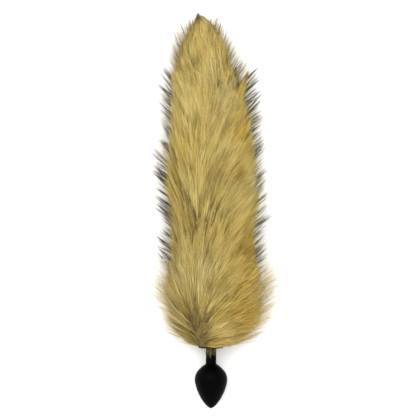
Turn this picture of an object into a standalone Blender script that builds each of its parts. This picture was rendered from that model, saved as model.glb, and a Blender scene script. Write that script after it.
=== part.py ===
"""Fox tail plug: a silicone plug with a long faux fur tail, lying on a flat surface.

Units are metres. +Y runs from the plug's nose to the tip of the tail, +X is across the tail
and +Z is up. The origin is on the surface, under the middle of the overall length.
"""

import math
import random
from collections import namedtuple

import bmesh
import bpy
from mathutils import Vector

# Plug: one silicone moulding, turned about its own axis
BULB_RADIUS = 0.0187
NOSE_LENGTH = 0.0325
NOSE_CURVE = 1.5
SHOULDER_LENGTH = 0.0185
SHOULDER_CURVE = 2.3
NECK_RADIUS = 0.0060
NECK_LENGTH = 0.0182
NECK_FILLET = 0.0020
BASE_RADIUS = 0.0145
BASE_THICKNESS = 0.0070
BASE_EDGE_RADIUS = 0.0015
NOSE_STEPS = 11
SHOULDER_STEPS = 8
TURNED_SIDES = 28

# Hidden post between the plug's base and the tail
POST_RADIUS = 0.0040
POST_IN_BASE = 0.0045
POST_IN_TAIL = 0.0180
POST_SIDES = 20

# Tail: a fur body with locks fused to it
TAIL_LENGTH = 0.3880
TAIL_HALF_WIDTH = 0.0430
TAIL_HEIGHT = 0.0600
TAIL_DRIFT = 0.0160
MOUTH_WALL = 0.0016
FLOOR_PRESS = 1.12
BODY_STATIONS = 24
BODY_SIDES = 22

# Locks. Lifts are shares of the lock's direction that point away from the body, and the
# droop is the share that points down at the tail's sides.
LOCK_LENGTH = 0.0440
LOCK_WIDTH = 0.0138
LOCK_THICKNESS = 0.0064
LOCK_ROOT_DEPTH = 0.0040
LOCK_SPACING = 0.0184
LOCK_ROOT_LIFT = 0.30
LOCK_TIP_LIFT = 0.06
LOCK_DROOP = 0.16
LOCK_LOWEST_TURN = math.radians(130)
MOUTH_LOCKS = 11
MOUTH_LOCK_STATION = 0.010
MOUTH_LOCK_SIZE = 0.62
MOUTH_LOCK_FLOW = math.radians(66)
LOCK_SEED = 11

CLEARANCE = 0.0003

# The tail's sections. station is a share of TAIL_LENGTH from the base to the tip, and the
# other columns are shares of TAIL_HALF_WIDTH, TAIL_HEIGHT and TAIL_DRIFT. widest_at is the
# share of the section's own height at which it is widest.
Section = namedtuple("Section", "station half_width height widest_at drift")
SECTIONS = (
    Section(0.035, 0.62, 0.80, 0.43, 0.26),
    Section(0.080, 0.87, 0.95, 0.42, 0.34),
    Section(0.130, 1.00, 1.00, 0.42, 0.25),
    Section(0.220, 0.98, 1.00, 0.42, 0.17),
    Section(0.340, 0.90, 0.96, 0.42, 0.12),
    Section(0.450, 0.98, 1.00, 0.42, 0.04),
    Section(0.570, 0.95, 0.96, 0.42, -0.05),
    Section(0.680, 0.84, 0.88, 0.42, -0.12),
    Section(0.780, 0.75, 0.78, 0.42, -0.22),
    Section(0.845, 0.58, 0.64, 0.43, -0.58),
    Section(0.900, 0.43, 0.50, 0.44, -0.62),
    Section(0.945, 0.27, 0.34, 0.45, -0.56),
    Section(0.975, 0.12, 0.18, 0.46, -0.70),
)

# The way the fur lies, in degrees from +Y towards +X, at five places across the tail
Flow = namedtuple("Flow", "station left_edge left middle right right_edge")
FLOWS = (
    Flow(0.000, -68, -45, 70, 80, 78),
    Flow(0.040, -55, -25, 60, 70, 64),
    Flow(0.080, -48, -12, 45, 60, 52),
    Flow(0.140, -42, -8, 30, 48, 44),
    Flow(0.210, -44, -8, 18, 42, 46),
    Flow(0.300, -50, -8, 12, 38, 50),
    Flow(0.420, -46, -12, 5, 34, 47),
    Flow(0.580, -44, -6, 9, 30, 45),
    Flow(0.680, -42, -15, 0, 24, 42),
    Flow(0.760, -38, -22, -12, 10, 38),
    Flow(0.830, -32, -8, -5, 0, 28),
    Flow(0.900, -24, -4, 4, 2, 16),
    Flow(0.960, -25, -12, -15, -15, 0),
    Flow(1.000, -35, -35, -35, -35, -30),
)

# A lock's sections: a share of the way to its tip, and a share of its width and thickness
LockSection = namedtuple("LockSection", "way size")
LOCK_SECTIONS = (LockSection(0.0, 0.80), LockSection(0.35, 1.0), LockSection(0.72, 0.60))

# Locks that stand out by themselves. turn is in degrees from the top towards +X, flow in
# degrees from +Y towards +X, and length and size are shares of the other locks'.
LoneLock = namedtuple("LoneLock", "station turn flow length size")
LONE_LOCKS = (
    LoneLock(0.022, 66, 84, 0.85, 0.9),
    LoneLock(0.040, 80, 76, 0.90, 1.0),
    LoneLock(0.058, 62, 72, 1.10, 1.0),
    LoneLock(0.078, 84, 64, 0.85, 1.0),
    LoneLock(0.715, 62, 18, 1.15, 1.0),
    LoneLock(0.735, 78, 26, 1.00, 0.9),
)

PLUG_FRONT = NOSE_LENGTH + SHOULDER_LENGTH + NECK_LENGTH
OVERALL_LENGTH = PLUG_FRONT + TAIL_LENGTH
NOSE_Y = -OVERALL_LENGTH / 2
BASE_FRONT_Y = NOSE_Y + PLUG_FRONT
BASE_REAR_Y = BASE_FRONT_Y + BASE_THICKNESS
AXIS_Z = BULB_RADIUS
MOUTH_RADIUS = BASE_RADIUS + MOUTH_WALL


def clear_scene():
    for old in list(bpy.data.objects):
        bpy.data.objects.remove(old, do_unlink=True)


def new_collection(name, helpers=False):
    made = bpy.data.collections.new(name)
    bpy.context.scene.collection.children.link(made)
    made.hide_render = helpers
    return made


def material(name, colour, roughness, metallic=0.0):
    made = bpy.data.materials.new(name)
    made.use_nodes = True
    shader = made.node_tree.nodes["Principled BSDF"]
    shader.inputs["Base Color"].default_value = (*colour, 1.0)
    shader.inputs["Roughness"].default_value = roughness
    shader.inputs["Metallic"].default_value = metallic
    return made


def mesh_object(name, mesh, collection):
    made = bpy.data.objects.new(name, mesh)
    collection.objects.link(made)
    return made


def move_to(made, collection):
    for old in list(made.users_collection):
        old.objects.unlink(made)
    collection.objects.link(made)


def helper(made):
    """A cutter or a piece that is joined to another: never rendered by itself."""
    made.hide_render = True
    made.display_type = "WIRE"
    return made


def interpolated(rows, at):
    """The row of a table at a place between its rows, on a smooth curve through them."""
    if at <= rows[0][0]:
        return rows[0][1:]
    if at >= rows[-1][0]:
        return rows[-1][1:]
    after = next(i for i, row in enumerate(rows) if row[0] > at)
    low, high = rows[after - 1], rows[after]
    before = rows[max(after - 2, 0)]
    beyond = rows[min(after + 1, len(rows) - 1)]
    span = high[0] - low[0]
    share = (at - low[0]) / span
    found = []
    for column in range(1, len(low)):
        slope_in = (high[column] - before[column]) / (high[0] - before[0]) * span
        slope_out = (beyond[column] - low[column]) / (beyond[0] - low[0]) * span
        square, cube = share**2, share**3
        found.append(
            (2 * cube - 3 * square + 1) * low[column]
            + (cube - 2 * square + share) * slope_in
            + (3 * square - 2 * cube) * high[column]
            + (cube - square) * slope_out
        )
    return found


def sized_sections():
    """The sections in metres, with the mouth round the plug's base as the first one."""
    mouth_height = AXIS_Z + MOUTH_RADIUS
    rows = [Section(0.0, MOUTH_RADIUS, mouth_height, AXIS_Z / mouth_height, 0.0)]
    for row in SECTIONS:
        rows.append(
            row._replace(
                half_width=row.half_width * TAIL_HALF_WIDTH,
                height=row.height * TAIL_HEIGHT,
                drift=row.drift * TAIL_DRIFT,
            )
        )
    return rows


SIZED_SECTIONS = sized_sections()
BODY_END = SECTIONS[-1].station


def body_point(station, turn):
    """A point of the fur body. turn is the angle round the section from its top, to +X."""
    half_width, height, widest_at, drift = interpolated(SIZED_SECTIONS, station)
    widest_z = height * widest_at
    press = 1 + (FLOOR_PRESS - 1) * min(station / SECTIONS[0].station, 1.0)
    reach = height - widest_z if math.cos(turn) > 0 else max(widest_z * press, MOUTH_RADIUS)
    x = drift + half_width * math.sin(turn)
    z = max(widest_z + reach * math.cos(turn), 0.0)
    return Vector((x, BASE_FRONT_Y + station * TAIL_LENGTH, z))


def body_half_width(station):
    return interpolated(SIZED_SECTIONS, station)[0]


def body_middle(station):
    """The point in the middle of a section, on the line where it is widest."""
    height, widest_at, drift = interpolated(SIZED_SECTIONS, station)[1:]
    return Vector((drift, BASE_FRONT_Y + station * TAIL_LENGTH, height * widest_at))


def body_normal(station, turn):
    """The way out of the body's skin, from two short steps along it and round it."""
    step, turn_step = 0.004, 0.05
    along = body_point(min(station + step, BODY_END), turn)
    along -= body_point(max(station - step, 0.0), turn)
    around = body_point(station, turn + turn_step) - body_point(station, turn - turn_step)
    return around.cross(along).normalized()


def flow_at(station, across):
    """The way the fur lies in plan, in radians from +Y towards +X. across is -1 to 1."""
    angles = interpolated(FLOWS, station)
    place = (across + 1) / 2 * (len(angles) - 1)
    left = min(int(place), len(angles) - 2)
    return math.radians(angles[left] + (angles[left + 1] - angles[left]) * (place - left))


def loft(bm, rings, tip):
    """Closed skin through rings with equal numbers of points, from a flat end to a point."""
    made = [[bm.verts.new(point) for point in ring] for ring in rings]
    count = len(made[0])
    for low, high in zip(made, made[1:]):
        for i in range(count):
            j = (i + 1) % count
            bm.faces.new((low[i], low[j], high[j], high[i]))
    bm.faces.new(made[0][::-1])
    end = bm.verts.new(tip)
    for i in range(count):
        bm.faces.new((made[-1][i], made[-1][(i + 1) % count], end))


def mesh_from(bm, name):
    bmesh.ops.recalc_face_normals(bm, faces=bm.faces)
    mesh = bpy.data.meshes.new(name)
    bm.to_mesh(mesh)
    bm.free()
    return mesh


def turned(name, profile, collection):
    """A solid turned about the plug's axis from (radius, distance behind the nose) points."""
    mesh = bpy.data.meshes.new(name)
    points = [(radius, 0.0, -distance) for radius, distance in profile]
    edges = [(i, i + 1) for i in range(len(points) - 1)]
    mesh.from_pydata(points, edges, [])
    made = mesh_object(name, mesh, collection)
    screw = made.modifiers.new("turn", "SCREW")
    screw.steps = screw.render_steps = TURNED_SIDES
    screw.use_merge_vertices = True
    screw.merge_threshold = 0.00001
    made.location = (0.0, NOSE_Y, AXIS_Z)
    made.rotation_euler = (math.radians(90), 0.0, 0.0)
    return made


def arc(centre_radius, centre_distance, radius, start, end, steps):
    """Points of an arc in a turned profile, with its angles in degrees from +radius."""
    points = []
    for i in range(steps + 1):
        angle = math.radians(start + (end - start) * i / steps)
        points.append(
            (
                centre_radius + radius * math.cos(angle),
                centre_distance + radius * math.sin(angle),
            )
        )
    return points


def bulb_profile():
    points = [(0.0, 0.0)]
    for i in range(1, NOSE_STEPS + 1):
        share = (i / NOSE_STEPS) ** NOSE_CURVE
        radius = BULB_RADIUS * (1 - (1 - share) ** NOSE_CURVE) ** (1 / NOSE_CURVE)
        points.append((radius, NOSE_LENGTH * share))
    for i in range(1, SHOULDER_STEPS + 1):
        share = (i / SHOULDER_STEPS) ** (1 / NOSE_CURVE)
        radius = BULB_RADIUS - (BULB_RADIUS - NECK_RADIUS) * share**SHOULDER_CURVE
        points.append((radius, NOSE_LENGTH + SHOULDER_LENGTH * share))
    return points


def plug_profile():
    base_front = PLUG_FRONT
    base_rear = base_front + BASE_THICKNESS
    socket_radius = POST_RADIUS + CLEARANCE
    socket_end = base_rear - POST_IN_BASE - CLEARANCE
    edge = BASE_EDGE_RADIUS
    points = bulb_profile()
    points += arc(NECK_RADIUS + NECK_FILLET, base_front - NECK_FILLET, NECK_FILLET, 180, 90, 4)
    points += arc(BASE_RADIUS - edge, base_front + edge, edge, -90, 0, 3)
    points += arc(BASE_RADIUS - edge, base_rear - edge, edge, 0, 90, 3)
    points += [(socket_radius, base_rear), (socket_radius, socket_end), (0.0, socket_end)]
    return points


def build_plug(collection):
    made = turned("plug", plug_profile(), collection)
    made.data.materials.append(material("silicone", (0.012, 0.012, 0.013), 0.42))
    return made


def build_post(collection):
    length = POST_IN_BASE + POST_IN_TAIL
    bpy.ops.mesh.primitive_cylinder_add(
        vertices=POST_SIDES,
        radius=POST_RADIUS,
        depth=length,
        location=(0.0, BASE_REAR_Y - POST_IN_BASE + length / 2, AXIS_Z),
        rotation=(math.radians(90), 0.0, 0.0),
    )
    made = bpy.context.object
    made.name = "tail_post"
    move_to(made, collection)
    made.data.materials.append(material("post_plastic", (0.03, 0.03, 0.03), 0.5))
    return made


def body_mesh():
    bm = bmesh.new()
    rings = []
    for i in range(BODY_STATIONS + 1):
        station = BODY_END * i / BODY_STATIONS
        turns = (2 * math.pi * k / BODY_SIDES for k in range(BODY_SIDES))
        rings.append([body_point(station, turn) for turn in turns])
    loft(bm, rings, tip=body_middle(BODY_END) + Vector((0.0, body_half_width(BODY_END), 0.0)))
    return mesh_from(bm, "fur_tail")


def curve_point(root, middle, tip, way):
    """A point and its direction on the smooth curve from root to tip, drawn towards middle."""
    at = root * (1 - way) ** 2 + middle * 2 * way * (1 - way) + tip * way**2
    run = (middle - root) * (1 - way) + (tip - middle) * way
    return at, run.normalized()


def add_lock_solid(bm, root, middle, tip, normal, width, thickness):
    """A tapered lock with a diamond section, its flat side to the fur body."""
    rings = []
    for way, size in LOCK_SECTIONS:
        at, run = curve_point(root, middle, tip, way)
        side = run.cross(normal).normalized() * width * size / 2
        up = side.cross(run).normalized() * thickness * size / 2
        rings.append([at + side, at + up, at - side, at - up])
    loft(bm, rings, tip=tip)


def lock_direction(flow, turn, normal, lift):
    """Along the skin on top of the tail, and out from it at its sides."""
    down = -LOCK_DROOP * abs(math.sin(turn))
    lie = Vector((math.sin(flow), math.cos(flow), down))
    lie -= normal * lie.dot(normal) * (1 - abs(math.sin(turn)))
    return (lie + normal * lift).normalized()


def add_lock(bm, station, turn, flow, length, size):
    """A lock that starts in the body, runs along the tail and turns out to its flow."""
    normal = body_normal(station, turn)
    root = body_point(station, turn) - normal * LOCK_ROOT_DEPTH
    middle = root + lock_direction(flow * 0.6, turn, normal, LOCK_ROOT_LIFT) * length / 2
    tip = middle + lock_direction(flow, turn, normal, LOCK_TIP_LIFT) * length / 2
    tip.y = min(tip.y, BASE_FRONT_Y + TAIL_LENGTH)
    add_lock_solid(bm, root, middle, tip, normal, LOCK_WIDTH * size, LOCK_THICKNESS * size)


def add_lock_row(bm, chance, row, rows):
    """One row of locks round the body, set half a lock aside from the row before."""
    station = BODY_END * (row + 0.6) / rows
    half_width = body_half_width(station)
    size = 0.5 + 0.5 * min(half_width / TAIL_HALF_WIDTH, 1.0)
    round_length = LOCK_LOWEST_TURN * 2 * half_width * 0.85
    count = max(3, round(round_length / (LOCK_SPACING * 0.9 * size)))
    for k in range(count):
        place = (k + 0.5 + 0.5 * (row % 2 - 0.5)) / count
        turn = LOCK_LOWEST_TURN * (2 * place - 1) + chance.uniform(-0.06, 0.06)
        at = station + chance.uniform(-0.2, 0.2) * LOCK_SPACING / TAIL_LENGTH
        length = LOCK_LENGTH * size * chance.uniform(0.85, 1.12) * (1 - 0.25 * abs(math.sin(turn)))
        add_lock(bm, at, turn, flow_at(at, math.sin(turn)), length, size)


def add_mouth_locks(bm):
    """A ring of small locks that fan out from the mouth, round the plug's base."""
    length = LOCK_LENGTH * MOUTH_LOCK_SIZE
    for k in range(MOUTH_LOCKS):
        turn = 2 * math.pi * k / MOUTH_LOCKS
        flow = MOUTH_LOCK_FLOW * math.sin(turn)
        add_lock(bm, MOUTH_LOCK_STATION, turn, flow, length, MOUTH_LOCK_SIZE)


def add_tip_lock(bm):
    """The lock that ends the tail, from inside the body to exactly the tail's full length."""
    station = SECTIONS[-2].station
    root = body_middle(station)
    width = body_half_width(station)
    tip = Vector((-TAIL_DRIFT, BASE_FRONT_Y + TAIL_LENGTH, root.z / 2))
    middle = Vector((root.x, (root.y + tip.y) / 2, root.z))
    add_lock_solid(bm, root, middle, tip, Vector((0.0, 0.0, 1.0)), width, width / 2)


def locks_mesh():
    """All the locks, in staggered rows from the base to the tip of the tail."""
    bm = bmesh.new()
    chance = random.Random(LOCK_SEED)
    add_mouth_locks(bm)
    rows = round(TAIL_LENGTH * BODY_END / LOCK_SPACING)
    for row in range(rows):
        add_lock_row(bm, chance, row, rows)
    for lone in LONE_LOCKS:
        turn, flow = math.radians(lone.turn), math.radians(lone.flow)
        add_lock(bm, lone.station, turn, flow, LOCK_LENGTH * lone.length, lone.size)
    add_tip_lock(bm)
    return mesh_from(bm, "locks")


def floor_cutter(collection):
    """Everything under the surface that the tail lies on."""
    bpy.ops.mesh.primitive_cube_add(size=1.0, location=(0.0, 0.0, -TAIL_HEIGHT / 2))
    made = bpy.context.object
    made.name = "floor_cutter"
    made.scale = (TAIL_HALF_WIDTH * 6, OVERALL_LENGTH * 1.5, TAIL_HEIGHT)
    move_to(made, collection)
    return helper(made)


def seat_cutter(collection):
    """The room that the plug's base and the post take in the tail, and the way to them."""
    seat = BASE_RADIUS + CLEARANCE
    hole = POST_RADIUS + CLEARANCE
    base_rear = PLUG_FRONT + BASE_THICKNESS
    profile = [
        (0.0, NOSE_LENGTH),
        (seat, NOSE_LENGTH),
        (seat, base_rear + CLEARANCE),
        (hole, base_rear + CLEARANCE),
        (hole, base_rear + POST_IN_TAIL + CLEARANCE),
        (0.0, base_rear + POST_IN_TAIL + CLEARANCE),
    ]
    return helper(turned("seat_cutter", profile, collection))


def boolean(made, other, operation, with_itself=False):
    modifier = made.modifiers.new(f"{operation.lower()}_{other.name}", "BOOLEAN")
    modifier.operation = operation
    modifier.object = other
    modifier.solver = "EXACT"
    modifier.use_self = with_itself


def build_tail(collection, helpers):
    made = mesh_object("fur_tail", body_mesh(), collection)
    locks = helper(mesh_object("locks", locks_mesh(), helpers))
    boolean(made, locks, "UNION", with_itself=True)
    boolean(made, floor_cutter(helpers), "DIFFERENCE")
    boolean(made, seat_cutter(helpers), "DIFFERENCE")
    made.data.materials.append(material("faux_fur", (0.52, 0.38, 0.12), 0.85))
    return made


def main():
    clear_scene()
    parts = new_collection("fox_tail_plug")
    helpers = new_collection("helpers", helpers=True)
    build_plug(parts)
    build_post(parts)
    build_tail(parts, helpers)


main()
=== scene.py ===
import math
from collections import namedtuple

import bpy
import numpy as np
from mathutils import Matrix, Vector


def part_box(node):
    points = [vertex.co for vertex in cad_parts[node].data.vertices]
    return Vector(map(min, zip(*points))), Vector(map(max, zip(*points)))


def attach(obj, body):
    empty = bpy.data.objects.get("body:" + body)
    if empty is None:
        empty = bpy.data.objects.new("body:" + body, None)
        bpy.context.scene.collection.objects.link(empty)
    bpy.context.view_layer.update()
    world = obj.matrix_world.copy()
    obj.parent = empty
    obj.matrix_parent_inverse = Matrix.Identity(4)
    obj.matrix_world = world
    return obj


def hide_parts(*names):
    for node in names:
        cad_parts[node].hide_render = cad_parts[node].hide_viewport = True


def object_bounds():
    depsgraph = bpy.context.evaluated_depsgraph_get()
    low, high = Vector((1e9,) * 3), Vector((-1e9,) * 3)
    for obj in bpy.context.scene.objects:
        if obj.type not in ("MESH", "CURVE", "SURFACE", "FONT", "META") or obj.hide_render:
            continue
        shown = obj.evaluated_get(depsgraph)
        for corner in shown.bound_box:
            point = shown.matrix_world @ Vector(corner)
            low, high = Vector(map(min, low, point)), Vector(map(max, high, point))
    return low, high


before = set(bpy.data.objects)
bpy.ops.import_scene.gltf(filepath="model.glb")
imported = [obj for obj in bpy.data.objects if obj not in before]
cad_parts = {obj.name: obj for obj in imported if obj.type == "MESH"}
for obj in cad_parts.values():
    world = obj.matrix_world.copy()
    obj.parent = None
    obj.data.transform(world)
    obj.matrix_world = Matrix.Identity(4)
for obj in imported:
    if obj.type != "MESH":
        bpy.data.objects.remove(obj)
CAD_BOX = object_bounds()

# The photograph's frame and its scale, from the stated overall length
PHOTO_SIDE_PX = 416
OVERALL_LENGTH = 0.4572
OVERALL_LENGTH_PX = 398.8
NOSE_PX = (211.0, 408.3)
METRES_PER_PX = OVERALL_LENGTH / OVERALL_LENGTH_PX
CAMERA_HEIGHT = 2.6
SENSOR_WIDTH = 36.0

# Sizes read from the frame
PLUG_LOW, PLUG_HIGH = (Vector(corner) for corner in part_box("plug"))
TAIL_LOW, TAIL_HIGH = (Vector(corner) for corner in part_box("fur_tail"))
BULB_RADIUS = (PLUG_HIGH.z - PLUG_LOW.z) / 2
AXIS_Z = (PLUG_HIGH.z + PLUG_LOW.z) / 2
NOSE_Y = PLUG_LOW.y
BASE_FRONT_Y = TAIL_LOW.y
TIP_Y = TAIL_HIGH.y
TAIL_LENGTH = TIP_Y - BASE_FRONT_Y
BASE_THICKNESS = PLUG_HIGH.y - BASE_FRONT_Y

# Plug
NOSE_LENGTH = 0.0325
NOSE_CURVE = 1.5
SHOULDER_LENGTH = 0.0185
SHOULDER_CURVE = 2.3
NECK_RADIUS = 0.0060
NECK_FILLET = 0.0020
BASE_RADIUS = 0.0145
BASE_EDGE_RADIUS = 0.0015
TURNED_SIDES = 96

# Tail
TAIL_HALF_WIDTH = 0.0430
TAIL_HEIGHT = 0.0600
TAIL_DRIFT = 0.0160
MOUTH_RADIUS = BASE_RADIUS + 0.0016
FLOOR_PRESS = 1.12
FLOOR_GAP = 0.0004
TABLE_STEPS = 400

# The tail's sections. station is a share of the tail's length from the base to the tip, and
# the other columns are shares of TAIL_HALF_WIDTH, TAIL_HEIGHT and TAIL_DRIFT. widest_at is
# the share of the section's own height at which it is widest.
Section = namedtuple("Section", "station half_width height widest_at drift")
SECTIONS = (
    Section(0.035, 0.62, 0.80, 0.43, 0.26),
    Section(0.080, 0.87, 0.95, 0.42, 0.34),
    Section(0.130, 1.00, 1.00, 0.42, 0.25),
    Section(0.220, 0.98, 1.00, 0.42, 0.17),
    Section(0.340, 0.90, 0.96, 0.42, 0.12),
    Section(0.450, 0.98, 1.00, 0.42, 0.04),
    Section(0.570, 0.95, 0.96, 0.42, -0.05),
    Section(0.680, 0.84, 0.88, 0.42, -0.12),
    Section(0.780, 0.75, 0.78, 0.42, -0.22),
    Section(0.845, 0.58, 0.64, 0.43, -0.58),
    Section(0.900, 0.43, 0.50, 0.44, -0.62),
    Section(0.945, 0.27, 0.34, 0.45, -0.56),
    Section(0.975, 0.12, 0.18, 0.46, -0.70),
)
BODY_END = SECTIONS[-1].station

# The way the fur lies, in degrees from +Y towards +X, at five places across the tail
Flow = namedtuple("Flow", "station left_edge left middle right right_edge")
FLOWS = (
    Flow(0.000, -84, 72, 90, 97, 100),
    Flow(0.045, -68, 58, 77, 84, 82),
    Flow(0.080, -52, 30, 62, 72, 66),
    Flow(0.140, -34, 10, 47, 58, 54),
    Flow(0.210, -20, 4, 34, 50, 50),
    Flow(0.300, -13, 3, 30, 45, 48),
    Flow(0.420, -13, 2, 29, 43, 45),
    Flow(0.580, -15, -1, 24, 37, 39),
    Flow(0.680, -22, -12, 8, 28, 34),
    Flow(0.760, -28, -22, -10, 6, 22),
    Flow(0.830, -22, -10, -4, -2, 10),
    Flow(0.900, -18, -4, 6, 0, 4),
    Flow(0.960, -14, -8, -10, -14, -12),
    Flow(1.000, -30, -30, -35, -40, -40),
)

# The way single hairs stand out at the tail's sides, in degrees from +Y
Aim = namedtuple("Aim", "station degrees")
AIMS = (
    Aim(0.00, 74),
    Aim(0.05, 62),
    Aim(0.12, 52),
    Aim(0.22, 54),
    Aim(0.40, 50),
    Aim(0.70, 46),
    Aim(0.78, 36),
    Aim(0.86, 18),
    Aim(0.92, 8),
    Aim(1.00, 0),
)

# The edge of the golden fur. station is a share of the tail's length, and the other columns
# are shares of TAIL_HALF_WIDTH, TAIL_DRIFT and TAIL_HEIGHT.
Edge = namedtuple("Edge", "station half_width centre height")
EDGES = (
    Edge(0.000, 0.36, 0.00, 0.62),
    Edge(0.012, 0.50, 0.18, 0.74),
    Edge(0.025, 0.74, 0.28, 0.86),
    Edge(0.048, 1.01, 0.10, 0.98),
    Edge(0.084, 1.24, 0.03, 1.04),
    Edge(0.119, 1.30, 0.00, 1.07),
    Edge(0.172, 1.26, 0.03, 1.08),
    Edge(0.226, 1.18, 0.10, 1.08),
    Edge(0.275, 1.08, 0.13, 1.06),
    Edge(0.332, 1.06, 0.08, 1.04),
    Edge(0.400, 1.14, 0.06, 1.07),
    Edge(0.450, 1.20, 0.02, 1.08),
    Edge(0.510, 1.17, -0.02, 1.07),
    Edge(0.580, 1.13, -0.07, 1.04),
    Edge(0.650, 0.99, -0.08, 0.98),
    Edge(0.720, 0.95, -0.18, 0.92),
    Edge(0.757, 0.87, -0.46, 0.86),
    Edge(0.800, 0.74, -0.76, 0.79),
    Edge(0.830, 0.69, -0.72, 0.73),
    Edge(0.864, 0.63, -0.68, 0.66),
    Edge(0.899, 0.55, -0.58, 0.58),
    Edge(0.935, 0.34, -0.50, 0.40),
    Edge(0.955, 0.21, -0.56, 0.28),
    Edge(0.970, 0.12, -0.66, 0.19),
    Edge(0.985, 0.05, -0.80, 0.12),
    Edge(1.000, 0.01, -0.96, 0.05),
)
EDGE_MIDDLE = 0.45
EDGE_NOISE = 0.0013
EDGE_AHEAD = 0.08
EDGE_TESTS = 13
LEAST_SHARE = 0.35
LEAST_ROOM = 0.004
GOLD_END_Y = TIP_Y - 0.004
END_SPREAD = 0.011
HAIR_END_Y = TIP_Y - 0.003
TIP_START = 0.78
TIP_BLEND = 0.08

# Single hairs end before these places at the tail's sides
SIDE_REACH = 0.011
LEFT_X = CAD_BOX[0][0] - SIDE_REACH
RIGHT_X = CAD_BOX[1][0] + SIDE_REACH

# Patches of the fur that are lighter or darker, and warmer or greyer, than the rest. across
# is -1 to 1 over the tail, and the reaches are shares of the length and of the half width.
Patch = namedtuple("Patch", "station across along_reach across_reach light warmth")
PATCHES = (
    Patch(0.586, 0.65, 0.050, 0.30, 0.0, 1.3),
    Patch(0.270, 0.75, 0.050, 0.28, -0.2, 1.5),
    Patch(0.170, 0.55, 0.050, 0.35, 0.1, 1.1),
    Patch(0.070, 0.40, 0.040, 0.50, 0.2, 0.8),
    Patch(0.470, 0.45, 0.060, 0.25, 0.1, 0.6),
    Patch(0.410, 0.80, 0.035, 0.20, 0.1, -1.4),
    Patch(0.700, 0.22, 0.045, 0.20, -0.7, -1.2),
    Patch(0.600, 0.00, 0.050, 0.15, -0.4, -0.6),
    # The next seven patches are narrow and dark: painted shade in the partings of the fur
    Patch(0.772, -0.25, 0.016, 0.14, -1.6, -0.2),
    Patch(0.438, -0.18, 0.022, 0.09, -1.2, -0.3),
    Patch(0.400, 0.05, 0.020, 0.09, -0.8, -0.3),
    Patch(0.310, 0.05, 0.030, 0.09, -1.0, -0.3),
    Patch(0.232, 0.50, 0.014, 0.12, -1.5, 0.2),
    Patch(0.200, -0.28, 0.035, 0.10, -1.0, -0.4),
    Patch(0.100, -0.32, 0.018, 0.12, -0.4, -0.3),
    Patch(0.050, -0.25, 0.012, 0.20, 0.2, 0.0),
    Patch(0.660, -0.60, 0.080, 0.30, 0.5, -0.1),
    Patch(0.420, -0.55, 0.060, 0.25, 0.5, 0.1),
    Patch(0.520, -0.05, 0.030, 0.15, 0.6, -0.2),
    Patch(0.880, -0.10, 0.060, 0.50, 0.4, 0.0),
    Patch(0.150, -0.60, 0.050, 0.25, 0.4, -0.5),
    Patch(0.640, 0.50, 0.120, 0.40, 0.4, 0.0),
    Patch(0.290, 0.30, 0.060, 0.35, -0.4, 0.3),
    Patch(0.290, -0.45, 0.060, 0.35, -0.4, 0.0),
    Patch(0.050, -0.85, 0.050, 0.35, 0.7, -0.3),
)

# The strands' colour map has a band of rows for each hue, from dark to light. A strand lies
# in one row, so strands that share a row have the same colours from root to tip.
HUES = 3
GOLD, ORANGE, BEIGE = range(HUES)
SHADES = 8
TONE_ROWS = HUES * SHADES
ROW_INSET = 0.15

# Coats of golden strands. A lock is a group of tufts and a tuft is a group of strands. Sizes
# are in metres, and lift is the rise of a strand's first half for each unit of its length.
Coat = namedtuple(
    "Coat",
    "locks tufts strands length width lift depth edge lock_spread tuft_spread rings most_turn light",
)
COATS = {
    "undercoat": Coat(230, 6, 12, 0.034, 0.00085, 0.30, 0.84, 0.95, 0.0080, 0.0034, 3, 180, 0.0),
    "middle_coat": Coat(250, 9, 12, 0.044, 0.00058, 0.24, 0.87, 1.00, 0.0075, 0.0026, 4, 180, 0.0),
    "top_coat": Coat(240, 9, 12, 0.052, 0.00048, 0.17, 0.91, 1.02, 0.0070, 0.0022, 4, 180, 0.1),
    "fine_coat": Coat(220, 8, 14, 0.044, 0.00034, 0.16, 0.93, 1.03, 0.0070, 0.0016, 4, 180, 0.15),
    "light_streaks": Coat(260, 3, 7, 0.044, 0.00046, 0.15, 0.94, 1.04, 0.0050, 0.0012, 4, 150, 0.8),
    # Thin dark strands laid on the top coat: painted shade of the partings where the fur separates
    "painted_parting_shade": Coat(330, 3, 4, 0.030, 0.00040, 0.13, 0.97, 1.03, 0.0050, 0.0005, 4, 140, -1.9),
}
LOCK_GATHER = 0.32
TUFT_GATHER = 0.62
FIRST_FLOW = 0.7
LAST_LIFT = 0.05
DROOP = 0.14
# How much darker a share of tufts and strands is made: painted shade of small partings in the fur
PARTING_SHADE_DARKENING = 1.3
STRAND_TWIST = 0.35
LOOSE_TWIST = 1.0
HAIR_DEPTH = 0.90
GOLDEN_RATIO = 0.6180339887

# Roots stay clear of the plug's base at the mouth, and lie closer together there
MOUTH_START = 0.0065
MOUTH_DEPTH = 0.97
MOUTH_REACH = 0.035
MOUTH_CROWD = 1.6
MOUTH_LIP = 0.92
BACKING_DEPTH = 0.80
BACKING_GAP = 0.0020
BACKING_RINGS = 60
BACKING_SIDES = 40

# Each hue's dark, middle and light colours
HUE_COLOURS = (
    ((88, 72, 30), (180, 157, 84), (209, 190, 121)),
    ((92, 71, 22), (181, 149, 60), (207, 179, 90)),
    ((88, 77, 42), (172, 155, 97), (203, 188, 133)),
)

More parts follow.
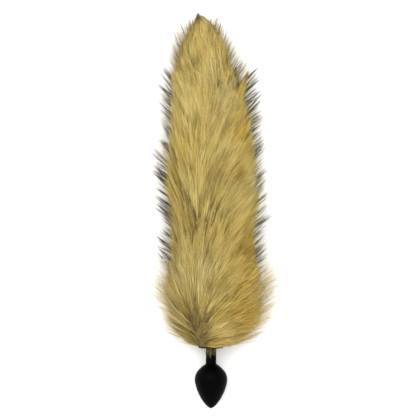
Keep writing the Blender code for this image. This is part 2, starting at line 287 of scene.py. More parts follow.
# Hairs past the golden edge, in tufts a step apart. A tuft is a group of wisps and a wisp is
# a group of hairs. Turns are in degrees from the top.
Fringe = namedtuple(
    "Fringe", "low high step low_turn high_turn wisps hairs spread wisp_spread length lift gather width"
)
FRINGES = {
    "guard_hair": Fringe(0.215, 0.770, 0.0255, 78, 108, 7, 6, 0.0044, 0.0006, 0.0385, 0.30, 0.40, 0.00043),
    "guard_under_hair": Fringe(
        0.150, 0.800, 0.0190, 104, 150, 7, 4, 0.0085, 0.0008, 0.030, 0.30, 0.20, 0.00042
    ),
    "grey_tip_hair": Fringe(0.790, 0.950, 0.0130, 55, 110, 4, 4, 0.0070, 0.0007, 0.0310, 0.34, 0.20, 0.00036),
    "pale_hair": Fringe(0.060, 0.950, 0.0100, 70, 125, 12, 1, 0.0060, 0.0005, 0.0420, 0.40, 0.20, 0.00024),
    "base_wisps": Fringe(0.020, 0.170, 0.0080, 66, 128, 7, 4, 0.0075, 0.0010, 0.0500, 0.45, 0.25, 0.00028),
}
WISP_GATHER = 0.80
HAIR_RINGS = 4

# Single pointed locks. The root is on the body, and the tip is in shares of the golden edge.
LoneLock = namedtuple(
    "LoneLock",
    "root_station root_turn tip_station tip_across tip_up bulge spread least_reach strands width",
)
LONE_LOCKS = {
    "side_lock": LoneLock(0.690, 52, 0.820, 1.82, 0.20, 0.004, 0.0050, 0.50, 360, 0.00056),
    "tip_tuft": LoneLock(0.920, -8, 1.000, 0.0, 0.8, 0.004, 0.0060, 0.60, 170, 0.00034),
    "low_base_lock": LoneLock(0.046, -52, 0.026, 0.86, 0.10, 0.007, 0.0055, 0.45, 420, 0.00050),
    "base_lock": LoneLock(0.058, -48, 0.048, 0.80, 0.35, 0.008, 0.0060, 0.45, 420, 0.00050),
    "upper_base_lock": LoneLock(0.072, -40, 0.085, 0.84, 0.45, 0.008, 0.0060, 0.45, 420, 0.00050),
}

# Hairs over the top of the plug's neck
NECK_HAIRS = 60
NECK_HAIR_WIDTH = 0.00020
NECK_HAIR_SEED = 71

# Colours along a hair, from its root to its tip
HAIR_COLOURS = {
    "guard_hair": ((0.0, (136, 112, 50)), (0.42, (122, 100, 46)), (0.64, (72, 60, 32)), (1.0, (98, 86, 58))),
    "guard_under_hair": (
        (0.0, (136, 112, 50)),
        (0.5, (146, 122, 60)),
        (0.75, (98, 82, 44)),
        (1.0, (116, 100, 62)),
    ),
    "grey_tip_hair": (
        (0.0, (140, 116, 54)),
        (0.5, (150, 130, 74)),
        (0.75, (104, 90, 58)),
        (1.0, (140, 128, 98)),
    ),
    "pale_hair": ((0.0, (170, 146, 80)), (0.5, (204, 188, 142)), (1.0, (236, 228, 202))),
    "base_wisps": ((0.0, (174, 147, 74)), (0.5, (206, 183, 118)), (1.0, (234, 221, 180))),
    "side_lock": ((0.0, (176, 150, 74)), (0.65, (190, 162, 80)), (0.9, (146, 118, 52)), (1.0, (56, 48, 34))),
    "tip_tuft": ((0.0, (176, 152, 82)), (0.45, (164, 141, 74)), (0.66, (84, 72, 44)), (1.0, (60, 52, 38))),
    "low_base_lock": ((0.0, (150, 126, 62)), (0.4, (188, 162, 88)), (1.0, (212, 190, 122))),
    "base_lock": ((0.0, (136, 112, 52)), (0.4, (184, 157, 82)), (1.0, (208, 184, 112))),
    "upper_base_lock": ((0.0, (136, 112, 52)), (0.4, (182, 153, 72)), (1.0, (204, 178, 98))),
    "neck_hair": ((0.0, (120, 100, 50)), (0.4, (128, 110, 62)), (1.0, (176, 160, 114))),
}


def interpolated(rows, at):
    """The row of a table at a place between its rows, on a smooth curve through them."""
    if at <= rows[0][0]:
        return rows[0][1:]
    if at >= rows[-1][0]:
        return rows[-1][1:]
    after = next(i for i, row in enumerate(rows) if row[0] > at)
    low, high = rows[after - 1], rows[after]
    before = rows[max(after - 2, 0)]
    beyond = rows[min(after + 1, len(rows) - 1)]
    span = high[0] - low[0]
    share = (at - low[0]) / span
    found = []
    for column in range(1, len(low)):
        slope_in = (high[column] - before[column]) / (high[0] - before[0]) * span
        slope_out = (beyond[column] - low[column]) / (beyond[0] - low[0]) * span
        square, cube = share**2, share**3
        found.append(
            (2 * cube - 3 * square + 1) * low[column]
            + (cube - 2 * square + share) * slope_in
            + (3 * square - 2 * cube) * high[column]
            + (cube - square) * slope_out
        )
    return found


def sized_sections():
    """The sections in metres, with the mouth round the plug's base as the first one."""
    mouth_height = AXIS_Z + MOUTH_RADIUS
    rows = [Section(0.0, MOUTH_RADIUS, mouth_height, AXIS_Z / mouth_height, 0.0)]
    for row in SECTIONS:
        rows.append(
            row._replace(
                half_width=row.half_width * TAIL_HALF_WIDTH,
                height=row.height * TAIL_HEIGHT,
                drift=row.drift * TAIL_DRIFT,
            )
        )
    return rows


def fine_table(rows):
    """(stations, columns) of a table read at many even steps."""
    stations = np.linspace(0.0, 1.0, TABLE_STEPS + 1)
    return stations, np.array([interpolated(rows, at) for at in stations]).T


SECTION_STATIONS, SECTION_COLUMNS = fine_table(sized_sections())
FLOW_STATIONS, FLOW_COLUMNS = fine_table(FLOWS)
EDGE_STATIONS, EDGE_COLUMNS = fine_table(EDGES)
EDGE_COLUMNS = EDGE_COLUMNS * np.array([[TAIL_HALF_WIDTH], [TAIL_DRIFT], [TAIL_HEIGHT]])


def section_columns(station):
    """The body's half width, height, widest place and drift at stations."""
    return [np.interp(station, SECTION_STATIONS, column) for column in SECTION_COLUMNS]


def body_points(station, turn, shrink=1.0):
    """Points of the fur body. turn is the angle round a section from its top, to +X."""
    half_width, height, widest_at, drift = section_columns(station)
    widest_z = height * widest_at
    press = 1 + (FLOOR_PRESS - 1) * np.minimum(station / SECTIONS[0].station, 1.0)
    below = np.maximum(widest_z * press, MOUTH_RADIUS)
    reach = np.where(np.cos(turn) > 0, height - widest_z, below)
    x = drift + half_width * np.sin(turn) * shrink
    z = np.maximum(widest_z + reach * np.cos(turn) * shrink, FLOOR_GAP)
    return np.stack([x, BASE_FRONT_Y + station * TAIL_LENGTH, z], axis=-1)


def unit(vectors):
    return vectors / np.maximum(np.linalg.norm(vectors, axis=-1, keepdims=True), 1e-9)


def body_normals(station, turn):
    """The way out of the body's skin, from two short steps along it and round it."""
    step, turn_step = 0.004, 0.05
    ahead, behind = np.minimum(station + step, BODY_END), np.maximum(station - step, 0.0)
    along = body_points(ahead, turn) - body_points(behind, turn)
    around = body_points(station, turn + turn_step) - body_points(station, turn - turn_step)
    return unit(np.cross(around, along))


def waves(chance, station, turn):
    """A smooth random field of about -1 to 1 over the body, the same for near places."""
    total = np.zeros(len(station))
    for size in (1.0, 0.7, 0.5):
        along, around = chance.uniform(14, 60), chance.integers(1, 4)
        phase, drift = chance.uniform(0, 2 * math.pi, 2)
        total += size * np.sin(station * along + phase) * np.cos(turn * around + drift)
    return total / 1.4


def flow_angles(station, across):
    """The way the fur lies in plan, in radians from +Y towards +X. across is -1 to 1."""
    angles = np.array([np.interp(station, FLOW_STATIONS, column) for column in FLOW_COLUMNS])
    place = (np.clip(across, -1, 1) + 1) / 2 * (len(angles) - 1)
    left = np.clip(place.astype(int), 0, len(angles) - 2)
    at = np.arange(len(left))
    low, high = angles[left, at], angles[left + 1, at]
    return np.radians(low + (high - low) * (place - left))


def lie_directions(flow, turn, normal, lift):
    """Along the skin on top of the tail, and out from it and down at its sides."""
    side = np.abs(np.sin(turn))
    lie = np.stack([np.sin(flow), np.cos(flow), -DROOP * side], axis=-1)
    inward = (lie * normal).sum(-1, keepdims=True)
    lie = lie - normal * inward * (1 - side)[:, None]
    return unit(lie + normal * lift[:, None])


def root_depths(station, depth):
    """The share of the body at which a strand is rooted, never inside the plug's base."""
    near = np.clip(1 - station / MOUTH_REACH, 0, 1)
    return depth + (MOUTH_DEPTH - depth) * near


def edge_sizes(points):
    """How far out points lie, 1 at the golden edge, with the edge's centre and reach there."""
    station = np.clip((points[..., 1] - BASE_FRONT_Y) / TAIL_LENGTH, 0, 1)
    half_width, centre_x, height = (np.interp(station, EDGE_STATIONS, column) for column in EDGE_COLUMNS)
    centre_z = height * EDGE_MIDDLE
    reach_z = np.where(points[..., 2] > centre_z, height - centre_z, centre_z + FLOOR_GAP)
    across, up = (points[..., 0] - centre_x) / half_width, (points[..., 2] - centre_z) / reach_z
    return np.maximum(np.hypot(across, up), 1e-6), centre_x, centre_z


def drawn_in(points, station, limit):
    """The points drawn in to the golden edge, where the tail narrows to its tip."""
    share = np.clip((station - TIP_START) / TIP_BLEND, 0, 1)
    size, centre_x, centre_z = edge_sizes(points)
    pull = np.where(size > limit, limit / size, 1.0) * share + (1 - share)
    drawn = points.copy()
    drawn[..., 0] = centre_x + (points[..., 0] - centre_x) * pull
    drawn[..., 2] = centre_z + (points[..., 2] - centre_z) * pull
    return drawn


def curve_at(roots, middle, tips, way):
    """Points of each strand's curve, with way from 0 at the root to 1 at the tip."""
    way = way[..., None]
    start = roots[:, None] * (1 - way) ** 2
    return start + middle[:, None] * 2 * way * (1 - way) + tips[:, None] * way**2


def share_inside(roots, middle, tips, limit):
    """The share of each strand that ends at the golden edge."""
    way = np.linspace(0.0, 1.0, EDGE_TESTS)
    size = edge_sizes(curve_at(roots, middle, tips, np.tile(way, (len(roots), 1))))[0]
    out = size[:, 1:] > limit[:, None]
    crossed = out.any(axis=1)
    after = np.argmax(out, axis=1) + 1
    at = np.arange(len(roots))
    low, high = size[at, after - 1], size[at, after]
    step = np.clip((limit - low) / np.maximum(high - low, 1e-6), 0, 1)
    share = way[after - 1] + step * way[1]
    return np.where(crossed, np.maximum(share, LEAST_SHARE), 1.0)


def strand_ends(station, turn, flow, lift, length, depth, end_y):
    """The root, middle and tip of each strand, and the way out of the skin at its root."""
    normal = body_normals(station, turn)
    first = lie_directions(flow * FIRST_FLOW, turn, normal, lift)
    last = lie_directions(flow, turn, normal, lift * LAST_LIFT)
    roots = body_points(station, turn, root_depths(station, depth))
    room = np.maximum(end_y - roots[:, 1], LEAST_ROOM)
    reach = (np.minimum(length, room / np.maximum(np.cos(flow), 0.3)) / 2)[:, None]
    middle = roots + first * reach
    return roots, middle, middle + last * reach, normal


def curve_points(chance, roots, middle, tips, rings, wave, share=1.0):
    """rings + 1 points on each strand from its root to a share of its curve, a little waved."""
    way = np.linspace(0.0, 1.0, rings + 1)[None, :] * np.ones((len(roots), 1))
    way = way * np.broadcast_to(share, len(roots))[:, None]
    points = curve_at(roots, middle, tips, way)
    sideways = unit(np.cross(tips - roots, np.array([0.0, 0.0, 1.0])))
    phase = chance.uniform(0, 2 * math.pi, len(roots))[:, None]
    size = chance.normal(0, wave, len(roots))[:, None]
    return points + sideways[:, None] * (size * np.sin(way * 4.2 + phase) * way)[..., None]


def ribbon_mesh(name, chance, points, facing, width, twist, rows):
    """Flat tapering strands, each from rings of two points to a single tip."""
    points[..., 2] = np.maximum(points[..., 2], FLOOR_GAP)
    count, rings = points.shape[0], points.shape[1] - 1
    runs = unit(np.gradient(points, axis=1))
    side = unit(np.cross(runs, facing[:, None]))
    turned = chance.normal(0, twist, count)[:, None, None]
    side = unit(side * np.cos(turned) + np.cross(runs, side) * np.sin(turned))
    way = np.linspace(0.0, 1.0, rings + 1)[:rings]
    taper = np.interp(way, (0.0, 0.3, 0.7, 1.0), (0.75, 1.0, 0.8, 0.3))[None, :, None]
    half = side[:, :rings] * taper * width[:, None, None] / 2
    pairs = np.stack([points[:, :rings] - half, points[:, :rings] + half], axis=2)
    vertices = np.concatenate([pairs.reshape(count, rings * 2, 3), points[:, rings:]], axis=1)
    vertices[..., 2] = np.maximum(vertices[..., 2], FLOOR_GAP)
    quads = [(2 * i, 2 * i + 1, 2 * i + 3, 2 * i + 2) for i in range(rings - 1)]
    corners = [corner for quad in quads for corner in quad]
    corners = np.array(corners + [2 * rings - 2, 2 * rings - 1, 2 * rings])
    sizes = np.array([4] * (rings - 1) + [3])
    per_strand = rings * 2 + 1
    loops = (np.arange(count)[:, None] * per_strand + corners[None]).ravel()
    u = np.append(np.repeat(way, 2), 0.995)
    v = np.append(np.tile([ROW_INSET, 1 - ROW_INSET], rings), 0.5)
    uv_u = np.tile(u[corners], count)
    uv_v = ((rows[:, None] + v[corners][None]) / TONE_ROWS).ravel()
    return mesh_object(name, vertices.reshape(-1, 3), loops, np.tile(sizes, count), uv_u, uv_v)


def mesh_object(name, vertices, loops, sizes, uv_u, uv_v):
    """An object from its points, the corners of its faces, their counts and their colour places."""
    mesh = bpy.data.meshes.new(name)
    mesh.vertices.add(len(vertices))
    mesh.vertices.foreach_set("co", vertices.astype(np.float32).ravel())
    mesh.loops.add(len(loops))
    mesh.loops.foreach_set("vertex_index", loops.astype(np.int32))
    mesh.polygons.add(len(sizes))
    starts = np.concatenate([[0], np.cumsum(sizes)[:-1]])
    mesh.polygons.foreach_set("loop_start", starts.astype(np.int32))
    mesh.polygons.foreach_set("loop_total", sizes.astype(np.int32))
    layer = mesh.uv_layers.new(name="OFBake")
    layer.uv.foreach_set("vector", np.stack([uv_u, uv_v], axis=-1).astype(np.float32).ravel())
    mesh.update(calc_edges=True)
    mesh.validate()
    mesh.shade_smooth()
    made = bpy.data.objects.new(name, mesh)
    bpy.context.scene.collection.objects.link(made)
    return made


def spread_places(count, shift):
    """Even places over the whole body, wound round it from its mouth to its end."""
    stations = np.linspace(0.0, BODY_END, TABLE_STEPS)
    weight = section_columns(stations)[0] + 0.004
    weight *= 1 + MOUTH_CROWD * np.exp(-stations / MOUTH_REACH)
    shares = np.cumsum(weight) / weight.sum()
    station = np.interp((np.arange(count) + 0.5) / count, shares, stations)
    turn = ((np.arange(count) * GOLDEN_RATIO + shift) % 1.0) * 2 * math.pi - math.pi
    return station, turn


def near_places(chance, station, turn, spread):
    """A place near each given one, as far off as spread in metres."""
    half_width = section_columns(station)[0]
    along = chance.normal(0, spread, len(station)) / TAIL_LENGTH
    around = chance.normal(0, spread, len(station)) / (half_width + 0.008)
    return np.clip(station + along, MOUTH_START, BODY_END), turn + around


def patch_tones(station, turn):
    """The lightness and warmth that the patches give to places on the body."""
    across = np.sin(turn)
    on_top = np.clip(np.cos(turn) * 3 + 1.0, 0, 1)
    light, warmth = np.zeros(len(station)), np.zeros(len(station))
    for patch in PATCHES:
        along = (station - patch.station) / patch.along_reach
        sideways = (across - patch.across) / patch.across_reach
        share = np.exp(-(along**2) - sideways**2) * on_top
        light += patch.light * share
        warmth += patch.warmth * share
    return light, warmth


def tone_rows(chance, light, warmth):
    """The row of the colour map for each strand, from its lightness and warmth."""
    warmth = warmth + chance.normal(0, 0.35, len(warmth))
    hue = np.where(warmth > 0.55, ORANGE, np.where(warmth < -0.55, BEIGE, GOLD))
    shade = np.clip((0.55 + light * 0.24) * SHADES, 0, SHADES - 1).astype(int)
    return hue * SHADES + shade


def edge_limits(chance, edge, station):
    """How far out strands reach, as shares of the golden edge, with the same noise everywhere."""
    ahead = np.minimum(station + EDGE_AHEAD, BODY_END)
    half_width = np.interp(ahead, EDGE_STATIONS, EDGE_COLUMNS[0])
    return edge + chance.normal(0, EDGE_NOISE, len(station)) / (half_width + 0.002)


def gathered(chance, ends, parents, owner, gather):
    """Strands drawn to the tips of the lock, tuft or wisp that each one belongs to."""
    roots, middle, tips, normal = ends
    pull = (gather * chance.uniform(0.5, 1.15, len(owner)))[:, None]
    tips = tips + (parents[2][owner] - tips) * pull
    middle = middle + (parents[1][owner] - middle) * pull * 0.4
    return roots, middle, tips, normal


def coat(name, sizes, seed):
    """One coat of the golden fur: strands gathered in tufts, and tufts in locks."""
    chance = np.random.default_rng(seed)
    station, turn = spread_places(sizes.locks, chance.uniform())
    turn = turn * sizes.most_turn / 180
    shift = waves(chance, station, turn) * 0.12 + chance.normal(0, 0.08, sizes.locks)
    lift = sizes.lift * chance.uniform(0.75, 1.3, sizes.locks)
    length = sizes.length * chance.uniform(0.85, 1.15, sizes.locks)
    light = waves(chance, station, turn) * 0.3 + chance.normal(sizes.light, 0.35, sizes.locks)
    warmth = waves(chance, station, turn) * 0.35 + chance.normal(0, 0.20, sizes.locks)
    limit = edge_limits(chance, sizes.edge, station)
    flow = flow_angles(station, np.sin(turn)) + shift
    heart = strand_ends(station, turn, flow, lift, length, sizes.depth, GOLD_END_Y)
    levels = (
        (sizes.tufts, sizes.lock_spread, LOCK_GATHER, 0.09, 0.40, 0.08),
        (sizes.strands, sizes.tuft_spread, TUFT_GATHER, 0.08, 0.34, 0.05),
    )
    for members, spread, gather, flow_noise, light_noise, parting_shade_share in levels:
        owner = np.repeat(np.arange(len(station)), members)
        count = len(owner)
        station, turn = near_places(chance, station[owner], turn[owner], spread)
        shift = shift[owner] + chance.normal(0, flow_noise, count)
        lift = lift[owner] * chance.uniform(0.8, 1.2, count)
        length = length[owner] * chance.uniform(0.75, 1.08, count)
        light = light[owner] + chance.normal(0, light_noise, count)
        # Some tufts and strands are made darker: painted shade of the partings between them
        light -= PARTING_SHADE_DARKENING * (chance.uniform(size=count) < parting_shade_share)
        warmth = warmth[owner]
        limit = edge_limits(chance, limit[owner], station)
        end_y = GOLD_END_Y - chance.exponential(END_SPREAD, count)
        flow = flow_angles(station, np.sin(turn)) + shift
        ends = strand_ends(station, turn, flow, lift, length, sizes.depth, end_y)
        heart = gathered(chance, ends, heart, owner, gather)
    roots, middle, tips, normal = heart
    patch_light, patch_warmth = patch_tones(station, turn)
    rows = tone_rows(chance, light + patch_light, warmth + patch_warmth)
    middle, tips = drawn_in(middle, station, limit), drawn_in(tips, station, limit)
    share = share_inside(roots, middle, tips, limit * 1.02)
    points = curve_points(chance, roots, middle, tips, sizes.rings, 0.0011, share)
    width = sizes.width * chance.uniform(0.7, 1.25, count)
    return ribbon_mesh(name, chance, points, normal, width, STRAND_TWIST, rows)


def side_flow(station, turn):
    """The way that single hairs stand out at the sides, in radians from +Y towards +X."""
    aims = np.interp(station, [row.station for row in AIMS], [row.degrees for row in AIMS])
    return np.radians(aims) * np.sign(np.sin(turn))


def hair_tufts(chance, stations, turns, sizes):
    """Hairs gathered in wisps, and wisps in tufts: their roots, middles, tips and normals."""
    count = len(stations)
    station, turn = stations, turns
    shift = chance.normal(0, 0.10, count)
    length = sizes.length * chance.uniform(0.85, 1.15, count)
    lift = np.full(count, sizes.lift)
    flow = side_flow(station, turn) + shift
    heart = strand_ends(station, turn, flow, lift, length, HAIR_DEPTH, HAIR_END_Y)
    levels = (
        (sizes.wisps, sizes.spread, sizes.gather, 0.08),
        (sizes.hairs, sizes.wisp_spread, WISP_GATHER, 0.03),
    )
    for members, spread, gather, flow_noise in levels:
        owner = np.repeat(np.arange(len(station)), members)
        count = len(owner)
        station, turn = near_places(chance, station[owner], turn[owner], spread)
        shift = shift[owner] + chance.normal(0, flow_noise, count)
        length = length[owner] * chance.uniform(0.72, 1.04, count)
        lift = lift[owner] * chance.uniform(0.8, 1.2, count)
        end_y = HAIR_END_Y - chance.exponential(END_SPREAD, count)
        flow = side_flow(station, turn) + shift
        ends = strand_ends(station, turn, flow, lift, length, HAIR_DEPTH, end_y)
        heart = gathered(chance, ends, heart, owner, gather)
    return heart


def within_sides(roots, middle, tips):
    """Hairs made shorter where their tips would pass the reach of the tail's sides."""
    room = np.where(tips[:, 0] < roots[:, 0], roots[:, 0] - LEFT_X, RIGHT_X - roots[:, 0])
    share = np.clip(room / np.maximum(np.abs(tips[:, 0] - roots[:, 0]), 1e-6), 0, 1)[:, None]
    return roots + (middle - roots) * share, roots + (tips - roots) * share


def edge_places(chance, low, high, step, low_turn, high_turn):
    """Places along both sides of the tail, a step apart more or less."""
    stations, turns = [], []
    for side in (-1, 1):
        along = np.arange(low, high, step)
        along = along + chance.uniform(-0.3, 0.3, len(along)) * step
        stations.append(along)
        turns.append(side * np.radians(chance.uniform(low_turn, high_turn, len(along))))
    return np.concatenate(stations), np.concatenate(turns)


def fringe(name, seed, sizes):
    """Hairs that stand out past the golden edge on both sides of the tail."""
    chance = np.random.default_rng(seed)
    places = edge_places(chance, sizes.low, sizes.high, sizes.step, sizes.low_turn, sizes.high_turn)
    roots, middle, tips, normal = hair_tufts(chance, *places, sizes)
    middle, tips = within_sides(roots, middle, tips)
    points = curve_points(chance, roots, middle, tips, HAIR_RINGS, 0.0006)
    points[..., 1] = np.minimum(points[..., 1], TIP_Y)
    width = sizes.width * chance.uniform(0.7, 1.3, len(points))
    rows = chance.integers(0, TONE_ROWS, len(points))
    return ribbon_mesh(name, chance, points, normal, width, LOOSE_TWIST, rows)


def edge_point(station, across, up):
    """A point in shares of the golden edge's reach, from its centre."""
    half_width, centre_x, height = (np.interp(station, EDGE_STATIONS, column) for column in EDGE_COLUMNS)
    centre_z = height * EDGE_MIDDLE
    z = centre_z + up * (height - centre_z)
    return np.array([centre_x + across * half_width, BASE_FRONT_Y + station * TAIL_LENGTH, z])


def lone_lock(name, seed, sizes):
    """One pointed lock that stands away from the rest."""
    chance = np.random.default_rng(seed)
    count = sizes.strands
    station = np.full(count, sizes.root_station)
    turn = np.full(count, math.radians(sizes.root_turn))
    station, turn = near_places(chance, station, turn, sizes.spread)
    normal = body_normals(station, turn)
    roots = body_points(station, turn, HAIR_DEPTH)
    tip = edge_point(sizes.tip_station, sizes.tip_across, sizes.tip_up)
    way = chance.uniform(sizes.least_reach, 1.0, count)[:, None]
    tips = roots + (tip - roots) * way + chance.normal(0, sizes.spread * 0.10, (count, 3))
    tips[:, 1] = np.minimum(tips[:, 1], TIP_Y)
    middle = roots * 0.55 + tips * 0.45 + normal * sizes.bulge
    middle += chance.normal(0, sizes.spread * 0.25, (count, 3))
    points = curve_points(chance, roots, middle, tips, 5, 0.0006)
    width = sizes.width * chance.uniform(0.7, 1.25, count)
    rows = chance.integers(0, TONE_ROWS, count)
    return ribbon_mesh(name, chance, points, normal, width, STRAND_TWIST, rows)


def neck_hair():
    """Short hairs at the mouth that hang forward over the top of the plug's neck."""
    chance = np.random.default_rng(NECK_HAIR_SEED)
    turn = chance.normal(0, 0.6, NECK_HAIRS)
    out = np.stack([np.sin(turn), np.zeros(NECK_HAIRS), np.cos(turn)], axis=-1)
    axis = np.array([0.0, BASE_FRONT_Y, AXIS_Z])
    roots = axis + out * MOUTH_RADIUS * chance.uniform(0.94, 1.06, NECK_HAIRS)[:, None]
    roots[:, 1] += chance.uniform(0.001, 0.005, NECK_HAIRS)
    forward = chance.uniform(0.002, 0.013, NECK_HAIRS)
    swing = chance.normal(0, 0.0006, (NECK_HAIRS, 3))
    near = np.interp(forward, (0.002, 0.013), (0.95, 0.45))[:, None]
    tips = axis + out * MOUTH_RADIUS * near + swing
    tips[:, 1] = BASE_FRONT_Y - forward
    middle = axis + out * MOUTH_RADIUS * (0.5 + near / 2)
    middle[:, 1] = BASE_FRONT_Y - forward * 0.4
    points = curve_points(chance, roots, middle, tips, HAIR_RINGS, 0.0001)
    width = NECK_HAIR_WIDTH * chance.uniform(0.7, 1.3, NECK_HAIRS)
    rows = chance.integers(0, TONE_ROWS, NECK_HAIRS)
    return ribbon_mesh("neck_hair", chance, points, out, width, LOOSE_TWIST, rows)


def backing_skin():
    """The cloth skin under the fur, from a lip behind the plug's base to the tail's end."""
    stations = np.linspace(MOUTH_START, BODY_END, BACKING_RINGS - 1)
    stations = np.insert(stations, 0, MOUTH_START)
    turns = np.linspace(0.0, 2 * math.pi, BACKING_SIDES, endpoint=False)
    at, turn = (grid.ravel() for grid in np.meshgrid(stations, turns, indexing="ij"))
    depth = root_depths(at, BACKING_DEPTH)
    depth[:BACKING_SIDES] *= MOUTH_LIP
    vertices = body_points(at, turn, depth)
    vertices[:, 2] = np.maximum(vertices[:, 2], BACKING_GAP)
    corners, u, v = [], [], []
    for ring in range(BACKING_RINGS - 1):
        for side in range(BACKING_SIDES):
            beyond = (side + 1) % BACKING_SIDES
            low, high = ring * BACKING_SIDES, (ring + 1) * BACKING_SIDES
            corners += [low + side, low + beyond, high + beyond, high + side]
            u += [side / BACKING_SIDES, (side + 1) / BACKING_SIDES] * 2
            u[-2:] = u[-1], u[-2]
            v += [ring / BACKING_RINGS] * 2 + [(ring + 1) / BACKING_RINGS] * 2
    last = (BACKING_RINGS - 1) * BACKING_SIDES
    corners += list(range(last, last + BACKING_SIDES))
    u += list((0.5 + 0.01 * np.sin(turns)))
    v += list((0.99 + 0.005 * np.cos(turns)))
    sizes = np.array([4] * (BACKING_RINGS - 1) * BACKING_SIDES + [BACKING_SIDES])
    return mesh_object("fur_backing", vertices, np.array(corners), sizes, np.array(u), np.array(v))


def nodes_of(material):
    material.use_nodes = True
    tree = material.node_tree
    return tree, tree.nodes["Principled BSDF"]


def add_ramp(tree, stops, source):
    """A colour that changes through the stops as the source goes from 0 to 1."""
    ramp = tree.nodes.new("ShaderNodeValToRGB")
    elements = ramp.color_ramp.elements
    for extra in range(len(stops) - 2):
        elements.new(0.5)
    for element, (position, colour) in zip(elements, stops):
        element.position = position
        element.color = (*colour, 1.0)
    tree.links.new(source, ramp.inputs["Fac"])
    return ramp.outputs["Color"]


def srgb(*values):
    """A colour from 0 to 255 screen values as linear light."""
    found = []
    for value in values:
        share = value / 255
        found.append(share / 12.92 if share <= 0.04045 else ((share + 0.055) / 1.055) ** 2.4)
    return tuple(found)


def strand_coordinates(tree):
    """The way along a strand, 0 at its root, and its row of the colour map."""
    uv = tree.nodes.new("ShaderNodeUVMap")
    uv.uv_map = "OFBake"
    split = tree.nodes.new("ShaderNodeSeparateXYZ")
    tree.links.new(uv.outputs["UV"], split.inputs["Vector"])
    return split.outputs["X"], split.outputs["Y"]


def multiplied(tree, first, second):
    mix = tree.nodes.new("ShaderNodeMix")
    mix.data_type = "RGBA"
    mix.blend_type = "MULTIPLY"
    mix.inputs["Factor"].default_value = 1.0
    tree.links.new(first, mix.inputs["A"])
    tree.links.new(second, mix.inputs["B"])
    return mix.outputs["Result"]


def set_hair_finish(shader):
    shader.inputs["Roughness"].default_value = 0.60
    shader.inputs["Specular IOR Level"].default_value = 0.22


def fur_material():
    """Golden fur, darker at the root, with its hue and shade set by its row."""
    made = bpy.data.materials.new("golden_fur")
    tree, shader = nodes_of(made)
    along, row = strand_coordinates(tree)
    stops = []
    for hue, (dark, mid, light) in enumerate(HUE_COLOURS):
        start, end = hue / HUES, (hue + 1) / HUES
        stops += [(start, srgb(*dark)), ((start + end) / 2, srgb(*mid)), (end - 0.001, srgb(*light))]
    tone = add_ramp(tree, stops, row)
    shade = add_ramp(
        tree,
        (
            (0.0, (0.34, 0.31, 0.26)),
            (0.35, (0.78, 0.76, 0.72)),
            (0.65, (0.96, 0.96, 0.95)),
            (1.0, (1.0, 1.0, 1.0)),
        ),
        along,
    )
    tree.links.new(multiplied(tree, tone, shade), shader.inputs["Base Color"])
    set_hair_finish(shader)
    return made


def hair_material(name, colours):
    """A single hair's colours from root to tip, a little lighter or darker by its row."""
    made = bpy.data.materials.new(name)
    tree, shader = nodes_of(made)
    along, row = strand_coordinates(tree)
    colour = add_ramp(tree, [(at, srgb(*values)) for at, values in colours], along)
    shade = add_ramp(tree, ((0.0, (0.58, 0.58, 0.58)), (1.0, (1.0, 1.0, 1.0))), row)
    tree.links.new(multiplied(tree, colour, shade), shader.inputs["Base Color"])
    set_hair_finish(shader)
    return made


def backing_material():
    """Knitted backing cloth in a darker gold, its own colour and also painted shade deep in the fur."""
    made = bpy.data.materials.new("knit_backing")
    tree, shader = nodes_of(made)
    coordinates = tree.nodes.new("ShaderNodeTexCoord")
    weave = tree.nodes.new("ShaderNodeTexWave")
    weave.inputs["Scale"].default_value = 260.0
    weave.inputs["Distortion"].default_value = 1.5
    tree.links.new(coordinates.outputs["Object"], weave.inputs["Vector"])
    # The darker gold is partly the cloth's colour and partly painted shade for the depth under the strands
    colour = add_ramp(tree, ((0.0, srgb(104, 88, 46)), (1.0, srgb(140, 120, 66))), weave.outputs["Fac"])
    tree.links.new(colour, shader.inputs["Base Color"])
    bump = tree.nodes.new("ShaderNodeBump")
    bump.inputs["Strength"].default_value = 0.3
    bump.inputs["Distance"].default_value = 0.0004
    tree.links.new(weave.outputs["Fac"], bump.inputs["Height"])
    tree.links.new(bump.outputs["Normal"], shader.inputs["Normal"])
    shader.inputs["Roughness"].default_value = 0.9
    return made


def silicone_material():
    made = bpy.data.materials.new("black_silicone")
    tree, shader = nodes_of(made)
    coordinates = tree.nodes.new("ShaderNodeTexCoord")
    noise = tree.nodes.new("ShaderNodeTexNoise")
    noise.inputs["Scale"].default_value = 90.0
    noise.inputs["Detail"].default_value = 3.0
    tree.links.new(coordinates.outputs["Object"], noise.inputs["Vector"])
    colour = add_ramp(
        tree,
        ((0.3, (0.0003, 0.0003, 0.0003)), (0.7, (0.0006, 0.0006, 0.0006))),
        noise.outputs["Fac"],
    )
    tree.links.new(colour, shader.inputs["Base Color"])
    rough = tree.nodes.new("ShaderNodeMapRange")
    rough.inputs["To Min"].default_value = 0.40
    rough.inputs["To Max"].default_value = 0.50
    tree.links.new(noise.outputs["Fac"], rough.inputs["Value"])
    tree.links.new(rough.outputs["Result"], shader.inputs["Roughness"])
    shader.inputs["Specular IOR Level"].default_value = 0.025
    return made


def arc(centre_radius, centre_distance, radius, start, end, steps):
    """Points of an arc in a turned profile, with its angles in degrees from +radius."""
    points = []
    for i in range(steps + 1):
        angle = math.radians(start + (end - start) * i / steps)
        reach, drop = radius * math.cos(angle), radius * math.sin(angle)
        points.append((centre_radius + reach, centre_distance + drop))
    return points


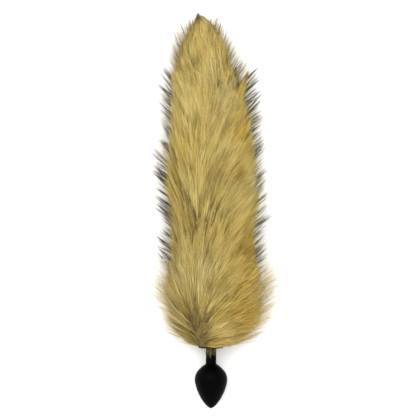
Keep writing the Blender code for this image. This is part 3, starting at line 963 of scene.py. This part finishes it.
def plug_profile():
    """(radius, distance behind the nose) points, from the nose to the middle of the base."""
    points = [(0.0, 0.0)]
    steps = 40
    for i in range(1, steps + 1):
        share = (i / steps) ** NOSE_CURVE
        radius = BULB_RADIUS * (1 - (1 - share) ** NOSE_CURVE) ** (1 / NOSE_CURVE)
        points.append((radius, NOSE_LENGTH * share))
    for i in range(1, steps + 1):
        share = i / steps
        radius = BULB_RADIUS - (BULB_RADIUS - NECK_RADIUS) * share**SHOULDER_CURVE
        points.append((radius, NOSE_LENGTH + SHOULDER_LENGTH * share))
    base_front = BASE_FRONT_Y - NOSE_Y
    base_rear = base_front + BASE_THICKNESS
    edge = BASE_EDGE_RADIUS
    points += arc(NECK_RADIUS + NECK_FILLET, base_front - NECK_FILLET, NECK_FILLET, 180, 90, 8)
    points += arc(BASE_RADIUS - edge, base_front + edge, edge, -90, 0, 6)
    points += arc(BASE_RADIUS - edge, base_rear - edge, edge, 0, 90, 6)
    points.append((0.0, base_rear))
    return points


def build_plug():
    """The silicone plug, turned finely about its axis."""
    mesh = bpy.data.meshes.new("silicone_plug")
    points = [(radius, 0.0, -distance) for radius, distance in plug_profile()]
    mesh.from_pydata(points, [(i, i + 1) for i in range(len(points) - 1)], [])
    made = bpy.data.objects.new("silicone_plug", mesh)
    bpy.context.scene.collection.objects.link(made)
    screw = made.modifiers.new("turn", "SCREW")
    screw.steps = screw.render_steps = TURNED_SIDES
    screw.use_merge_vertices = True
    screw.merge_threshold = 0.00001
    made.location = (0.0, NOSE_Y, AXIS_Z)
    made.rotation_euler = (math.radians(90), 0.0, 0.0)
    made.data.materials.append(silicone_material())
    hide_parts("plug")
    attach(made, "root")
    return made


def build_camera():
    centre_px = PHOTO_SIDE_PX / 2
    x = (centre_px - NOSE_PX[0]) * METRES_PER_PX
    y = NOSE_Y + (NOSE_PX[1] - centre_px) * METRES_PER_PX
    data = bpy.data.cameras.new("camera")
    data.sensor_width = SENSOR_WIDTH
    data.lens = SENSOR_WIDTH * CAMERA_HEIGHT / (PHOTO_SIDE_PX * METRES_PER_PX)
    data.clip_end = 20.0
    made = bpy.data.objects.new("camera", data)
    made.location = (x, y, AXIS_Z + CAMERA_HEIGHT)
    bpy.context.scene.collection.objects.link(made)
    bpy.context.scene.camera = made


def area_light(name, location, target, size, energy):
    data = bpy.data.lights.new(name, "AREA")
    data.shape = "DISK"
    data.size = size
    data.energy = energy
    made = bpy.data.objects.new(name, data)
    made.location = location
    made.rotation_euler = (Vector(target) - Vector(location)).to_track_quat("-Z", "Y").to_euler()
    bpy.context.scene.collection.objects.link(made)


def build_world():
    """Soft light from all round, dimmer from straight above."""
    world = bpy.data.worlds.new("studio")
    bpy.context.scene.world = world
    world.use_nodes = True
    tree = world.node_tree
    background = tree.nodes["Background"]
    coordinates = tree.nodes.new("ShaderNodeTexCoord")
    split = tree.nodes.new("ShaderNodeSeparateXYZ")
    tree.links.new(coordinates.outputs["Generated"], split.inputs["Vector"])
    colour = add_ramp(
        tree,
        ((0.0, (1.0, 1.0, 1.0)), (0.6, (1.0, 1.0, 1.0)), (1.0, (0.8, 0.8, 0.8))),
        split.outputs["Z"],
    )
    tree.links.new(colour, background.inputs["Color"])
    background.inputs["Strength"].default_value = 1.5


def build_floor():
    bpy.ops.mesh.primitive_plane_add(size=6.0, location=(0.0, 0.0, 0.0))
    made = bpy.context.object
    made.name = "floor"
    material = bpy.data.materials.new("pale_floor")
    shader = nodes_of(material)[1]
    shader.inputs["Base Color"].default_value = (0.93, 0.93, 0.925, 1.0)
    shader.inputs["Roughness"].default_value = 0.9
    shader.inputs["Specular IOR Level"].default_value = 0.1
    made.data.materials.append(material)


def dress(piece, material):
    piece.data.materials.append(material)
    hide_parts("fur_tail")
    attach(piece, "root")


def build_fur():
    dress(backing_skin(), backing_material())
    gold = fur_material()
    for seed, (name, sizes) in enumerate(COATS.items()):
        dress(coat(name, sizes, seed + 5), gold)
    for seed, (name, sizes) in enumerate(FRINGES.items()):
        dress(fringe(name, seed + 40, sizes), hair_material(name, HAIR_COLOURS[name]))
    for seed, (name, sizes) in enumerate(LONE_LOCKS.items()):
        dress(lone_lock(name, seed + 60, sizes), hair_material(name, HAIR_COLOURS[name]))
    dress(neck_hair(), hair_material("neck_hair", HAIR_COLOURS["neck_hair"]))


build_camera()
build_world()
build_floor()
area_light("key", (-0.2, 0.6, 1.9), (0.0, 0.0, 0.0), 1.4, 16.0)
build_plug()
build_fur()
bpy.context.scene.view_settings.view_transform = "Standard"
